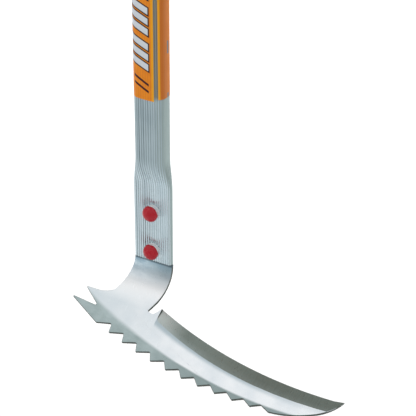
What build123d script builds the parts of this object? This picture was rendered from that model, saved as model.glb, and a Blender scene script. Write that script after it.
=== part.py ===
from build123d import *
import os
from math import asin, atan2, cos, degrees, radians, sin, sqrt

# A long-handled weeding sickle: a one-piece steel blade, bent forward below the handle, with a
# two-pronged root fork at its left end, saw teeth along its lower edge and a ground cutting edge
# along its upper one. The blade's tang is bolted into the pressed-flat end of an aluminium tube.
#
# Millimetres. +Z runs up the handle, -Y is the front, where the nuts are, and +X runs along the
# blade to its point. Everything is drawn with z = 0 at the tube's lower end, and then exported with
# the origin moved to the centre of the hanging hole.

# Handle tube: a rectangular section with crowned faces, pressed flat at its lower end
TUBE_LENGTH = 1050.0
TUBE_WIDTH = 26.0
TUBE_DEPTH = 19.0
TUBE_CROWN = 0.9
TUBE_CORNER = 5.5
TUBE_WALL = 1.7
FLAT_WIDTH = 33.4
FLAT_LENGTH = 66.0
FLAT_SIDE = 0.6
PRESS_LENGTH = 27.0
PRESS_STEPS = 4

# Blade: sheet, tang, neck and bend
SHEET = 2.3
TANG_GAP = 0.15
TANG_WIDTH = 22.0
TANG_HEIGHT = 62.0
TANG_CHAMFER = 4.4
NECK_WIDTH = 33.6
NECK_STRAIGHT = 2.0
BEND_RADIUS = 30.0
BEND_ANGLE = 60.0
BEND_SECTIONS = 9
NECK_FLARE_LEFT = 10.9
NECK_FLARE_POWER = 1.6
NECK_TAPER_RIGHT = 5.6
NECK_TAPER_POWER = 2.0

# Blade: cutting edge, an arc of a large circle, and the bevel ground above it
EDGE_RADIUS = 395.0
EDGE_CROWN_X = 159.2
EDGE_CROWN_DEPTH = 62.4
HEEL_X = 18.4
POINT_X = 185.2
BEVEL_WIDTH_HEEL = 11.0
BEVEL_WIDTH_MIDDLE = 11.7
BEVEL_WIDTH_POINT = 9.8
EDGE_LAND = 0.3
PLUNGE_RADIUS = 5.0

# Blade: toothed edge, also an arc of a large circle, and the tapered band ground along it
TOOTH_COUNT = 12
TOOTH_PITCH = 15.1
TOOTH_RADIUS = 423.0
TOOTH_CROWN_X = 110.0
TOOTH_CROWN_DEPTH = 87.9
FIRST_TOOTH_X = -28.6
GULLET_DEPTH_FIRST = 7.1
GULLET_DEPTH_LAST = 3.6
GULLET_SHARE_FIRST = 0.78
GULLET_SHARE_LAST = 0.52
GULLET_FILLET = 1.4
TOOTH_FILLET = 0.6
BAND_WIDTH_FIRST = 10.9
BAND_WIDTH_MIDDLE = 5.8
BAND_WIDTH_LAST = 2.2
BAND_SLOPE = 0.075

# Blade: underside from the last tooth up to the point, through two places that are shares of the
# way between them, along x and along y
BELLY_SHARES = (0.35, 0.13)
CHEEK_SHARES = (0.69, 0.40)

# Both grinds start and stop clear of the blade's outline
GRIND_RUNOUT = 0.1
GRIND_OVERSHOOT = 5.0
GRIND_MARGIN = 0.2

# Blade: root fork, and the relief notch between the neck and the heel of the cutting edge.
# Each place is x and the depth below the handle, measured along the sheet.
PRONG_NOTCH = (-33.8, 51.1)
UPPER_PRONG_TIP = (-50.9, 38.4)
LOWER_PRONG_TIP = (-58.5, 49.3)
PRONG_TIP_WIDTH = 1.2
NOTCH_FILLET = 0.8
RELIEF_LEFT = (7.7, 42.2)
RELIEF_RIGHT = (13.6, 43.3)
RELIEF_FILLET_LEFT = 1.0
RELIEF_FILLET_RIGHT = 2.0

# Blade: the hollow curve from the upper prong to the neck. Each place is how far it lies to the left
# of the neck's lower left corner, and how far below it.
THROAT_START = (11.0, 4.2)
THROAT_MIDDLE = (4.6, 2.5)

# Bolted joint: two M6 bolts with thin nuts. A push-on plastic cap covers each bolt's end and
# the outer part of its nut.
BOLT_X = 1.5
LOWER_BOLT_Z = 11.2
BOLT_SPACING = 34.5
BOLT_DIAMETER = 6.0
BOLT_CLEARANCE = 0.2
THREAD_GAP = 0.05
HEX_FLATS = 10.0
HEX_CHAMFER = 0.6
HEAD_HEIGHT = 4.0
NUT_HEIGHT = 3.2
BOLT_PROJECTION = 1.4
WASHER_DIAMETER = 12.0
WASHER_THICKNESS = 1.6
SPRING_WASHER_DIAMETER = 9.9
SPRING_WASHER_THICKNESS = 1.6
SPRING_WASHER_SPLIT = 1.0
NUT_CAP_GAP = 0.1
NUT_CAP_WALL = 1.2
NUT_CAP_CORNER = 4.4
NUT_CAP_GRIP = 2.6
NUT_CAP_CROWN = 1.8
NUT_CAP_DOME_RADIUS = 7.2

# Label: a thin printed wrap whose ends stop short of meeting at the front right corner
LABEL_BOTTOM = 142.8
LABEL_LENGTH = 330.0
LABEL_THICKNESS = 0.2
LABEL_GAP = 2.4
LABEL_SEAM_X = 8.8

# Grip sleeve over the tube's upper end, with finger grooves
GRIP_LENGTH = 190.0
GRIP_WALL = 2.2
GROOVE_COUNT = 12
GROOVE_PITCH = 13.0
GROOVE_WIDTH = 3.0
GROOVE_DEPTH = 0.8
GRIP_EDGE = 0.8

# End cap: a hollow plug with a flange and an eye for hanging
PLUG_LENGTH = 24.0
PLUG_CLEARANCE = 0.1
PLUG_WALL = 2.0
FLANGE_HEIGHT = 7.0
FLANGE_EDGE = 2.0
EYE_WIDTH = 20.0
EYE_THICKNESS = 8.0
EYE_EDGE = 1.5
HANG_HOLE_RADIUS = 4.5
HANG_HOLE_HEIGHT = 17.0

# How near a corner or a circle has to lie to a place to be the one that is meant
MATCH_TOLERANCE = 0.01

# Worked out from the dimensions above
FLAT_DEPTH = SHEET + 2 * TANG_GAP + 2 * TUBE_WALL
FLAT_FACE = FLAT_DEPTH / 2
FLAT_CORNER = (FLAT_DEPTH - FLAT_SIDE) / 2
PRESS_TOP = FLAT_LENGTH + PRESS_LENGTH
BEND_END = NECK_STRAIGHT + BEND_RADIUS * radians(BEND_ANGLE)
BOLT_HEIGHTS = {"lower": LOWER_BOLT_Z, "upper": LOWER_BOLT_Z + BOLT_SPACING}
WASHER_FRONT = FLAT_FACE + WASHER_THICKNESS
NUT_SEAT = WASHER_FRONT + SPRING_WASHER_THICKNESS
NUT_FRONT = NUT_SEAT + NUT_HEIGHT
BOLT_END = NUT_FRONT + BOLT_PROJECTION
NUT_CAP_FLATS = HEX_FLATS + 2 * (NUT_CAP_GAP + NUT_CAP_WALL)
GRIP_BOTTOM = TUBE_LENGTH - GRIP_LENGTH
HANG_HOLE_Z = TUBE_LENGTH + HANG_HOLE_HEIGHT


def crowned_section(width, depth, corner, crown):
    """A rectangle with rounded corners whose faces bulge outwards by the crown."""
    x, y = width / 2 - crown, depth / 2 - crown
    corners = [(-x, -y), (x, -y), (x, y), (-x, y)]
    middles = [(0, -depth / 2), (width / 2, 0), (0, depth / 2), (-width / 2, 0)]
    edges = []
    for i, middle in enumerate(middles):
        start, end = corners[i], corners[(i + 1) % 4]
        edges.append(ThreePointArc(start, middle, end) if crown > 0 else Line(start, end))
    face = make_face(edges)
    return fillet(face.vertices(), corner)


def tube_section(offset=0.0):
    """The handle's outline away from the pressed end, grown or shrunk evenly by the offset."""
    return crowned_section(
        TUBE_WIDTH + 2 * offset, TUBE_DEPTH + 2 * offset, TUBE_CORNER + offset, TUBE_CROWN
    )


def pressed_section(share, offset=0.0):
    """The outline partway down the pressed transition: share 0 is the full tube, 1 the flat end."""
    ease = share * share * (3 - 2 * share)

    def between(full, flat):
        return full + ease * (flat - full)

    return crowned_section(
        between(TUBE_WIDTH, FLAT_WIDTH) + 2 * offset,
        between(TUBE_DEPTH, FLAT_DEPTH) + 2 * offset,
        between(TUBE_CORNER, FLAT_CORNER) + offset,
        between(TUBE_CROWN, 0.0),
    )


def tube_body(offset):
    """The tube's outer or inner volume: a flat stretch, the pressed transition and a straight run."""
    flat = extrude(pressed_section(1, offset), FLAT_LENGTH)
    sections = []
    for step in range(PRESS_STEPS + 1):
        share = 1 - step / PRESS_STEPS
        height = FLAT_LENGTH + PRESS_LENGTH * step / PRESS_STEPS
        sections.append(Pos(0, 0, height) * pressed_section(share, offset))
    transition = loft(sections)
    straight = Pos(0, 0, PRESS_TOP) * extrude(tube_section(offset), TUBE_LENGTH - PRESS_TOP)
    return flat + transition + straight


def bolt_holes(radius):
    """Cutters for both bolt holes, long enough to go right through the handle."""
    hole = Rot(90, 0, 0) * Cylinder(radius, 2 * TUBE_DEPTH)
    return [Pos(BOLT_X, 0, height) * hole for height in BOLT_HEIGHTS.values()]


def make_handle_tube():
    tube = tube_body(0) - tube_body(-TUBE_WALL)
    for hole in bolt_holes(BOLT_DIAMETER / 2 + BOLT_CLEARANCE):
        tube -= hole
    return tube


def neck_edges(depth):
    """The neck's left and right sides at a depth below the handle, along the sheet."""
    share = depth / BEND_END
    left = -NECK_WIDTH / 2 - NECK_FLARE_LEFT * share**NECK_FLARE_POWER
    right = NECK_WIDTH / 2 - NECK_TAPER_RIGHT * share**NECK_TAPER_POWER
    return left, right


def arc_point(crown_x, crown_depth, radius, angle, inset=0.0):
    """A point of a large edge arc, at an angle in radians from its deepest point."""
    x = crown_x + (radius - inset) * sin(angle)
    depth = crown_depth - radius + (radius - inset) * cos(angle)
    return x, depth


def edge_point(x):
    """The cutting edge's point at this x."""
    return arc_point(EDGE_CROWN_X, EDGE_CROWN_DEPTH, EDGE_RADIUS, asin((x - EDGE_CROWN_X) / EDGE_RADIUS))


def tooth_angles():
    """Each tooth tip's angle on the toothed arc, from the fork towards the point."""
    first = asin((FIRST_TOOTH_X - TOOTH_CROWN_X) / TOOTH_RADIUS)
    return [first + i * TOOTH_PITCH / TOOTH_RADIUS for i in range(TOOTH_COUNT)]


def tooth_point(angle, inset=0.0):
    return arc_point(TOOTH_CROWN_X, TOOTH_CROWN_DEPTH, TOOTH_RADIUS, angle, inset)


def tooth_outline():
    """Tooth tips and gullets by turns, from the first tip to the last."""
    angles = tooth_angles()
    points = [tooth_point(angles[0])]
    for i in range(1, TOOTH_COUNT):
        share = (i - 1) / (TOOTH_COUNT - 2)
        depth = GULLET_DEPTH_FIRST + share * (GULLET_DEPTH_LAST - GULLET_DEPTH_FIRST)
        position = GULLET_SHARE_FIRST + share * (GULLET_SHARE_LAST - GULLET_SHARE_FIRST)
        between = angles[i - 1] + position * (angles[i] - angles[i - 1])
        points += [tooth_point(between, depth), tooth_point(angles[i])]
    return points


def on_sheet(point):
    """A pattern point (x, depth below the handle) in the sketch's coordinates."""
    return point[0], -point[1]


def blade_outline():
    """The flat blade below the bend, as one closed face."""
    left, right = neck_edges(BEND_END)
    teeth = [on_sheet(p) for p in tooth_outline()]
    heel = on_sheet(edge_point(HEEL_X))
    point = on_sheet(edge_point(POINT_X))
    edge_middle = on_sheet(edge_point((HEEL_X + POINT_X) / 2))
    upper_x, upper_depth = UPPER_PRONG_TIP
    lower_x, lower_depth = LOWER_PRONG_TIP
    half_tip = PRONG_TIP_WIDTH / 2
    throat_start = (left - THROAT_START[0], -BEND_END - THROAT_START[1])
    throat_middle = (left - THROAT_MIDDLE[0], -BEND_END - THROAT_MIDDLE[1])

    def towards_point(shares):
        (x, y), (end_x, end_y) = teeth[-1], point
        return x + (end_x - x) * shares[0], y + (end_y - y) * shares[1]

    belly = towards_point(BELLY_SHARES)
    cheek = towards_point(CHEEK_SHARES)
    neck_right = Line((right, -BEND_END), on_sheet(RELIEF_LEFT))
    relief = Polyline(on_sheet(RELIEF_LEFT), on_sheet(RELIEF_RIGHT), heel)
    cutting_edge = ThreePointArc(heel, edge_middle, point)
    back = ThreePointArc(teeth[-1], belly, cheek)
    nose = TangentArc(cheek, point, tangent=back % 1)
    saw = Polyline(*teeth)
    fork = Polyline(
        teeth[0],
        (lower_x, -lower_depth - half_tip),
        (lower_x, -lower_depth + half_tip),
        on_sheet(PRONG_NOTCH),
        (upper_x, -upper_depth - half_tip),
        (upper_x, -upper_depth + half_tip),
        throat_start,
    )
    throat = ThreePointArc(throat_start, throat_middle, (left, -BEND_END))
    neck = Line(throat @ 1, neck_right @ 0)
    face = make_face(
        [neck_right, relief, cutting_edge, nose, back, saw, fork, throat, neck]
    )

    def corners_at(points):
        places = [Vector(*p) for p in points]
        return [v for v in face.vertices() if min((Vector(*v) - p).length for p in places) < MATCH_TOLERANCE]

    face = fillet(corners_at(teeth[1::2]), GULLET_FILLET)
    face = fillet(corners_at(teeth[2:-1:2]), TOOTH_FILLET)
    face = fillet(corners_at([on_sheet(PRONG_NOTCH)]), NOTCH_FILLET)
    face = fillet(corners_at([on_sheet(RELIEF_LEFT)]), RELIEF_FILLET_LEFT)
    face = fillet(corners_at([on_sheet(RELIEF_RIGHT)]), RELIEF_FILLET_RIGHT)
    return face


def ring_wedge(centre, profile, start, end):
    """A profile of (radius, height) points swept about a centre between two angles in radians,
    counted from the -Y direction towards +X."""
    plane = Plane(
        origin=(*centre, 0),
        x_dir=(sin(start), -cos(start), 0),
        z_dir=(-cos(start), -sin(start), 0),
    )
    face = plane * make_face(Polyline(*profile, close=True))
    return revolve(face, Axis((*centre, 0), (0, 0, 1)), degrees(end - start))


def ground_limit(points):
    """The circle through three pattern points, where a grind starts: its centre and radius."""
    arc = ThreePointArc(*[on_sheet(p) for p in points])
    return (arc.arc_center.X, arc.arc_center.Y), arc.radius


def bevel_limit():
    """Where the bevel starts, at the heel, at mid-length and at the point."""
    heel = asin((HEEL_X - EDGE_CROWN_X) / EDGE_RADIUS)
    point = asin((POINT_X - EDGE_CROWN_X) / EDGE_RADIUS)
    widths = {heel: BEVEL_WIDTH_HEEL, (heel + point) / 2: BEVEL_WIDTH_MIDDLE, point: BEVEL_WIDTH_POINT}
    return [
        arc_point(EDGE_CROWN_X, EDGE_CROWN_DEPTH, EDGE_RADIUS, angle, -width)
        for angle, width in widths.items()
    ]


def bevel_zone(limit):
    """The area that the bevel may cover, seen square on, with its rounded plunge at the heel."""
    heel_start, middle, point_end = [on_sheet(p) for p in limit]
    below = (HEEL_X, heel_start[1])
    above = (HEEL_X, on_sheet(edge_point(HEEL_X))[1] + GRIND_OVERSHOOT)
    clear = (point_end[0], on_sheet(edge_point(POINT_X))[1] + GRIND_OVERSHOOT)
    outer = [(x, y - GRIND_MARGIN) for x, y in (below, middle, point_end)]
    beyond = (clear[0] + 4 * GRIND_OVERSHOOT, outer[-1][1])
    corner = (beyond[0], clear[1])
    boundary = ThreePointArc(*outer)
    face = make_face([Line(above, outer[0]), boundary, Polyline(outer[-1], beyond, corner, above)])
    plunge = face.vertices().sort_by_distance((*outer[0], 0))[0]
    return fillet(plunge, PLUNGE_RADIUS)


def edge_bevel():
    """The metal ground off above the cutting edge: a cone's wedge, thinnest at the edge."""
    limit = bevel_limit()
    centre, outer = ground_limit(limit)
    reach = BEVEL_WIDTH_MIDDLE + GRIND_OVERSHOOT
    slope = (SHEET - EDGE_LAND) / BEVEL_WIDTH_MIDDLE
    inner = outer - reach
    profile = [(outer, 0), (inner, -slope * reach), (inner, SHEET), (outer, SHEET)]
    start = atan2(HEEL_X - centre[0], centre[1]) - GRIND_RUNOUT
    end = atan2(POINT_X - centre[0], centre[1]) + GRIND_RUNOUT
    wedge = ring_wedge(centre, profile, start, end)
    zone = Pos(0, 0, -2 * SHEET) * extrude(bevel_zone(limit), 4 * SHEET)
    return wedge & zone


def tooth_band():
    """The metal ground off along the teeth: a cone's wedge whose inner limit is its own arc."""
    angles = tooth_angles()
    middle = (angles[0] + angles[-1]) / 2
    centre, inner = ground_limit([
        tooth_point(angles[0], BAND_WIDTH_FIRST),
        tooth_point(middle, BAND_WIDTH_MIDDLE),
        tooth_point(angles[-1], BAND_WIDTH_LAST),
    ])
    outer = inner + 2 * BAND_WIDTH_FIRST + GRIND_OVERSHOOT
    profile = [(inner, 0), (outer, -BAND_SLOPE * (outer - inner)), (outer, SHEET), (inner, SHEET)]
    start = atan2(LOWER_PRONG_TIP[0] - centre[0], LOWER_PRONG_TIP[1] + centre[1]) - GRIND_RUNOUT
    end = atan2(POINT_X - centre[0], EDGE_CROWN_DEPTH + centre[1])
    return ring_wedge(centre, profile, start, end)


def neck_section(angle):
    """The neck's cross-section at an angle round the bend, facing along the sheet."""
    left, right = neck_edges(NECK_STRAIGHT + BEND_RADIUS * radians(angle))
    axis_y, axis_z = -SHEET / 2 - BEND_RADIUS, -NECK_STRAIGHT

    def at(x, radius):
        return x, axis_y + radius * cos(radians(angle)), axis_z - radius * sin(radians(angle))

    inner, outer = BEND_RADIUS, BEND_RADIUS + SHEET
    corners = [at(left, inner), at(right, inner), at(right, outer), at(left, outer)]
    return make_face(Polyline(*corners, close=True))


def make_blade():
    """One piece of sheet steel: tang, neck, bend and flat blade, with both grinds."""
    flat = extrude(blade_outline(), -SHEET) - edge_bevel() - tooth_band()
    end = neck_section(BEND_ANGLE).vertices().sort_by(Axis.Z)
    bend_end = (0, end[-1].Y, end[-1].Z)
    along = Vector(0, -sin(radians(BEND_ANGLE)), -cos(radians(BEND_ANGLE)))
    origin = Vector(bend_end) - along * BEND_END
    normal = (0, -cos(radians(BEND_ANGLE)), sin(radians(BEND_ANGLE)))
    flat = Plane(origin=origin, x_dir=(1, 0, 0), z_dir=normal) * flat

    steps = BEND_SECTIONS - 1
    bend = loft([neck_section(BEND_ANGLE * step / steps) for step in range(BEND_SECTIONS)])

    left, right = neck_edges(NECK_STRAIGHT)
    half = NECK_WIDTH / 2
    shoulder = Polyline((-half, 0), (half, 0), (right, -NECK_STRAIGHT), (left, -NECK_STRAIGHT), close=True)
    neck = extrude(Plane.XZ * make_face(shoulder), SHEET / 2, both=True)
    tang_outline = Pos(0, TANG_HEIGHT / 2) * Rectangle(TANG_WIDTH, TANG_HEIGHT)
    tang_outline = chamfer(tang_outline.vertices().group_by(Axis.Y)[-1], TANG_CHAMFER)
    tang = extrude(Plane.XZ * tang_outline, SHEET / 2, both=True)
    blade = tang + neck + bend + flat
    for hole in bolt_holes(BOLT_DIAMETER / 2 + BOLT_CLEARANCE):
        blade -= hole
    return blade


def disc(radius, low, high):
    """A cylinder between two distances in front of the handle's middle plane."""
    return Pos(0, 0, low) * Cylinder(radius, high - low, align=(Align.CENTER, Align.CENTER, Align.MIN))


def hexagon(flats, low, high):
    """A hexagonal prism between two distances in front of the handle's middle plane."""
    return Pos(0, 0, low) * extrude(RegularPolygon(flats / 2, 6, major_radius=False), high - low)


def chamfered_hexagon(low, high, ends, gap=0.0):
    """A bolt head, a nut, or the room for one: a hexagon whose corners are turned off at these ends."""
    flats = HEX_FLATS + 2 * gap
    turned = disc(flats / sqrt(3), low, high)
    rims = []
    for circle in turned.edges().filter_by(GeomType.CIRCLE):
        if min(abs(circle.center().Z - end) for end in ends) < MATCH_TOLERANCE:
            rims.append(circle)
    return hexagon(flats, low, high) & chamfer(rims, HEX_CHAMFER)


def make_bolt():
    head_front = -WASHER_FRONT
    head_back = head_front - HEAD_HEIGHT
    head = chamfered_hexagon(head_back, head_front, [head_back])
    return head + disc(BOLT_DIAMETER / 2, head_front, BOLT_END)


def make_flat_washer():
    hole = BOLT_DIAMETER / 2 + BOLT_CLEARANCE
    return disc(WASHER_DIAMETER / 2, FLAT_FACE, WASHER_FRONT) - disc(hole, 0, NUT_SEAT)


def make_rear_washer():
    return Rot(180, 0, 0) * make_flat_washer()


def make_spring_washer():
    ring = disc(SPRING_WASHER_DIAMETER / 2, WASHER_FRONT, NUT_SEAT)
    ring -= disc(BOLT_DIAMETER / 2 + BOLT_CLEARANCE, 0, BOLT_END)
    split = Pos(SPRING_WASHER_DIAMETER / 2, 0, NUT_SEAT) * Box(
        SPRING_WASHER_DIAMETER, SPRING_WASHER_SPLIT, 4 * SPRING_WASHER_THICKNESS
    )
    return ring - split


def make_nut():
    nut = chamfered_hexagon(NUT_SEAT, NUT_FRONT, [NUT_SEAT, NUT_FRONT])
    return nut - disc(BOLT_DIAMETER / 2 + THREAD_GAP, 0, BOLT_END)


def make_nut_cap():
    """A hexagonal plastic cap with rounded corners and a spherical end, seated on the bolt's end."""
    cap_low = NUT_FRONT - NUT_CAP_GRIP
    cap_end = BOLT_END + NUT_CAP_CROWN
    outline = fillet(RegularPolygon(NUT_CAP_FLATS / 2, 6, major_radius=False).vertices(), NUT_CAP_CORNER)
    cap = Pos(0, 0, cap_low) * extrude(outline, cap_end - cap_low)
    cap &= Pos(0, 0, cap_end - NUT_CAP_DOME_RADIUS) * Sphere(NUT_CAP_DOME_RADIUS)
    nut_room = NUT_FRONT + NUT_CAP_GAP
    cap -= chamfered_hexagon(NUT_SEAT, nut_room, [nut_room], NUT_CAP_GAP)
    return cap - disc(BOLT_DIAMETER / 2 + NUT_CAP_GAP, NUT_SEAT, BOLT_END)


def make_label():
    wrap = Pos(0, 0, LABEL_BOTTOM) * extrude(tube_section(LABEL_THICKNESS) - tube_section(), LABEL_LENGTH)
    gap = Pos(LABEL_SEAM_X, -TUBE_DEPTH / 2, LABEL_BOTTOM + LABEL_LENGTH / 2)
    return wrap - gap * Box(LABEL_GAP, TUBE_DEPTH, 2 * LABEL_LENGTH)


def make_grip_sleeve():
    sleeve = extrude(tube_section(GRIP_WALL), GRIP_LENGTH)
    sleeve = chamfer(sleeve.faces().sort_by(Axis.Z)[0].edges(), GRIP_EDGE)
    sleeve -= extrude(tube_section(), GRIP_LENGTH)
    groove = extrude(tube_section(2 * GRIP_WALL) - tube_section(GRIP_WALL - GROOVE_DEPTH), GROOVE_WIDTH)
    first = (GRIP_LENGTH - (GROOVE_COUNT - 1) * GROOVE_PITCH - GROOVE_WIDTH) / 2
    for i in range(GROOVE_COUNT):
        sleeve -= Pos(0, 0, first + i * GROOVE_PITCH) * groove
    return Pos(0, 0, GRIP_BOTTOM) * sleeve


def make_end_cap():
    """A hollow plug in the tube, a flange over tube and sleeve, and an eye with the hanging hole."""
    cavity_offset = -TUBE_WALL - PLUG_CLEARANCE - PLUG_WALL
    plug = extrude(tube_section(-TUBE_WALL - PLUG_CLEARANCE), PLUG_LENGTH)
    plug -= extrude(tube_section(cavity_offset), PLUG_LENGTH - PLUG_WALL)
    flange = extrude(tube_section(GRIP_WALL), FLANGE_HEIGHT)
    flange = fillet(flange.faces().sort_by(Axis.Z)[-1].edges(), FLANGE_EDGE)
    radius = EYE_WIDTH / 2
    outline = Pos(0, HANG_HOLE_HEIGHT / 2) * Rectangle(EYE_WIDTH, HANG_HOLE_HEIGHT)
    outline += Pos(0, HANG_HOLE_HEIGHT) * Circle(radius)
    eye = extrude(Plane.XZ * outline, EYE_THICKNESS / 2, both=True)
    rims = eye.faces().filter_by(Axis.Y).edges().filter_by(lambda e: e.center().Z > FLANGE_HEIGHT / 2)
    eye = chamfer(rims, EYE_EDGE)
    hole = Pos(0, 0, HANG_HOLE_HEIGHT) * Rot(90, 0, 0) * Cylinder(HANG_HOLE_RADIUS, 2 * EYE_THICKNESS)
    return Pos(0, 0, TUBE_LENGTH - PLUG_LENGTH) * plug + Pos(0, 0, TUBE_LENGTH) * (flange + eye - hole)


def make_parts():
    """Every piece by its name, in the frame with z = 0 at the tube's lower end."""
    parts = {
        "blade": make_blade(),
        "handle_tube": make_handle_tube(),
        "label": make_label(),
        "grip_sleeve": make_grip_sleeve(),
        "end_cap": make_end_cap(),
    }
    fastenings = {
        "bolt": make_bolt(),
        "rear_washer": make_rear_washer(),
        "front_washer": make_flat_washer(),
        "spring_washer": make_spring_washer(),
        "nut": make_nut(),
        "nut_cap": make_nut_cap(),
    }
    for level, height in BOLT_HEIGHTS.items():
        for kind, shape in fastenings.items():
            parts[f"{level}_{kind}"] = Pos(BOLT_X, 0, height) * Rot(90, 0, 0) * shape
    return parts


os.makedirs("parts", exist_ok=True)
for name, shape in make_parts().items():
    export_step(Pos(0, 0, -HANG_HOLE_Z) * shape, f"parts/{name}.step")
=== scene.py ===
from math import cos, pi, radians, sin, sqrt, tan

import bmesh
import bpy
from mathutils import Euler, Matrix, Vector


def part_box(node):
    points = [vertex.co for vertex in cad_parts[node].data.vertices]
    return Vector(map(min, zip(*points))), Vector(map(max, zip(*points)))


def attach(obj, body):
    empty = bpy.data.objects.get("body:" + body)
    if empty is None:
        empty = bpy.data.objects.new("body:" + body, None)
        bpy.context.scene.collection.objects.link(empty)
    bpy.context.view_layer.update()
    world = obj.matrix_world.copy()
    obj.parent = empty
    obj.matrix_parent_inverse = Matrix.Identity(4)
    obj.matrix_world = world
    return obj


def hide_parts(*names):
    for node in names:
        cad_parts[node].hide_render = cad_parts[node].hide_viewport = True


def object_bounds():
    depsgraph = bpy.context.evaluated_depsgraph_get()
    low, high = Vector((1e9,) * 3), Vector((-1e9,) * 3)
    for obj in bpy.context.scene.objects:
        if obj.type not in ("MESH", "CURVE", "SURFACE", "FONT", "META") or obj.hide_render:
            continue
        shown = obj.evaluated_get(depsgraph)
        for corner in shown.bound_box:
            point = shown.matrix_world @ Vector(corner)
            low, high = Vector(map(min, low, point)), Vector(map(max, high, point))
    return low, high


# The looks of a long-handled weeding sickle: a fluted aluminium tube, a printed label, red nut caps,
# a grooved rubber grip, a moulded end cap and a ground steel blade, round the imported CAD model.
#
# Millimetres in the named values below, metres in the scene. Heights are counted from the tube's
# lower end, along the handle. -Y is the front and +X runs along the blade to its point.

MM = 0.001

# Handle tube: a rectangular section with crowned faces, pressed flat at its lower end
TUBE_WIDTH = 26.0
TUBE_DEPTH = 19.0
TUBE_CROWN = 0.9
TUBE_CORNER = 5.5
TUBE_WALL = 1.7
FLAT_WIDTH = 33.4
FLAT_DEPTH = 6.0
FLAT_CORNER = 2.7
FLAT_LENGTH = 66.0
PRESS_LENGTH = 27.0
PRESS_RINGS = 14
FLUTES = 38
FLUTE_SAMPLES = 8
FLUTE_DEPTH = 0.5
FLUTE_DEPTH_SIDES = 0.15
FLUTE_SHADE_SIDES = 0.3
FLUTE_SHADE_RIGHT = 0.25
RIM_ROUND = 0.3
HOLE_RADIUS = 3.2

# Label: a thin wrap that starts and ends at the front right corner, one end a little higher
LABEL_THICKNESS = 0.2
LABEL_START_X = 7.6
LABEL_GAP = 2.4
LABEL_SKEW = 1.5
LABEL_SAMPLES = 320

# Label print, in millimetres along the wrap from its front end, and up from its lower edge
BORDER_WIDTH = 1.6
BARS_ALONG = (4.2, 21.0)
BARS_FROM = 22.0
BAR_GROUP_PITCH = 27.5
BAR_GROUP_LEAD = 2.0
BARS = ((0.0, 5.0), (8.0, 13.0), (16.0, 21.0))
BAR_SLANT = 0.42
BAR_OUTLINE = 1.1
DASHES_ALONG = (4.0, 16.5)
DASH_HEIGHTS = (5.0, 10.5)
DASH_WIDTH = 1.9
DASH_SLANT = 0.5
PANEL_ALONG = (21.0, 38.0)
PANEL_FROM = 51.0
PANEL_RULE_PITCH = 6.0
TICKS_ALONG = (62.5, 64.5)
TICK_PITCH = 41.0
TICK_LENGTH = 10.0
PRINT_SOFTNESS = 0.12
# pitch of the stripes of painted shade that stand for the flutes under the film; not print
RIB_PITCH = 2.1

# Nut caps: a rounded hexagonal skirt under a spherical end, with a hexagonal room for the nut and a
# round one for the bolt's end
CAP_FLATS = 12.6
CAP_CORNER = 4.4
CAP_DOME_RADIUS = 7.2
CAP_NUT_FLATS = 10.2
CAP_NUT_DEPTH = 2.7
CAP_BOLT_RADIUS = 3.1
CAP_BOLT_DEPTH = 4.0
CAP_EDGE_ROUND = 0.35
CAP_ROOM_CORNER = 0.3
CAP_ROOM_TAPER = 0.6
CAP_ROOM_END = 0.93
CAP_TIP_RADIUS = 0.3
CAP_BLEND = 0.6
CAP_SAMPLES = 96
CAP_RINGS = 18

# Grip sleeve: rounded grooves and rolled ends
GRIP_WALL = 2.2
GROOVE_COUNT = 12
GROOVE_PITCH = 13.0
GROOVE_WIDTH = 3.0
GROOVE_DEPTH = 0.8
GROOVE_RINGS = 8
GRIP_END_ROUND = 1.2
GRIP_SAMPLES = 120

# Blade, in the flattened sheet: its bend, the circle of the cutting edge, the bevel ground on it and the
# painted shade beside it, the circle of the duller band along the teeth, the painted shade at the joint,
# and how far edges are eased
SHEET = 2.3
NECK_STRAIGHT = 2.0
BEND_RADIUS = 30.0
BEND_ANGLE = 60.0
EDGE_RADIUS = 395.0
EDGE_CROWN_X = 159.2
EDGE_CROWN_DEPTH = 62.4
BEVEL_START_X = 18.4
BEVEL_WIDTH = 11.5
BEVEL_FADE = 4.0
BAND_RADIUS = 381.1
BAND_CENTRE_X = 125.2
BAND_CENTRE_RISE = 296.0
BAND_FADE = 4.0
BAND_SPREAD = 2.6
JOINT_SHADE = 3.0
GRIND_LINES = 2400.0
BLADE_EDGE_ROUND = 0.35
BLADE_EASED_ANGLE = 35
BLADE_KEEN_WIDTH = 1.5
BLADE_KEEN_SHARE = 0.3
PLUNGE_END_X = 120.0
BLADE_SHARP_ANGLE = 8.5

# Stretches over which the blade's tones change, painted light and shade among them, in millimetres: first
# those along X
SHEET_BRIGHTENS = (-60.0, 35.0)
BAND_WIDENS = (-45.0, 30.0)
BAND_NARROWS = (60.0, 150.0)
BAND_SOFTNESS_FALLS = (0.0, 50.0)
BAND_DARKENS = (10.0, 70.0)
BEVEL_DARKENS = (BEVEL_START_X, 50.0)
BEVEL_DARKENS_AGAIN = (60.0, 120.0)
BEVEL_GLEAM_FALLS = (30.0, 80.0)
BEVEL_SHADOW_FALLS = (100.0, 160.0)
NECK_TURNS_GREY = (2.0, 22.0)
NECK_WANDER = 20.0
# then inside the cutting edge
KEEN_LINE = (0.5, 1.1)
BEVEL_INNER_SIDE = (7.5, 11.5)
# and upwards, from the end of the bend and from the tube's lower end
BEND_BRIGHTENS = (-4.0, 6.0)
NECK_PAINTED_REFLECTION = (-26.0, -4.0)

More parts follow.
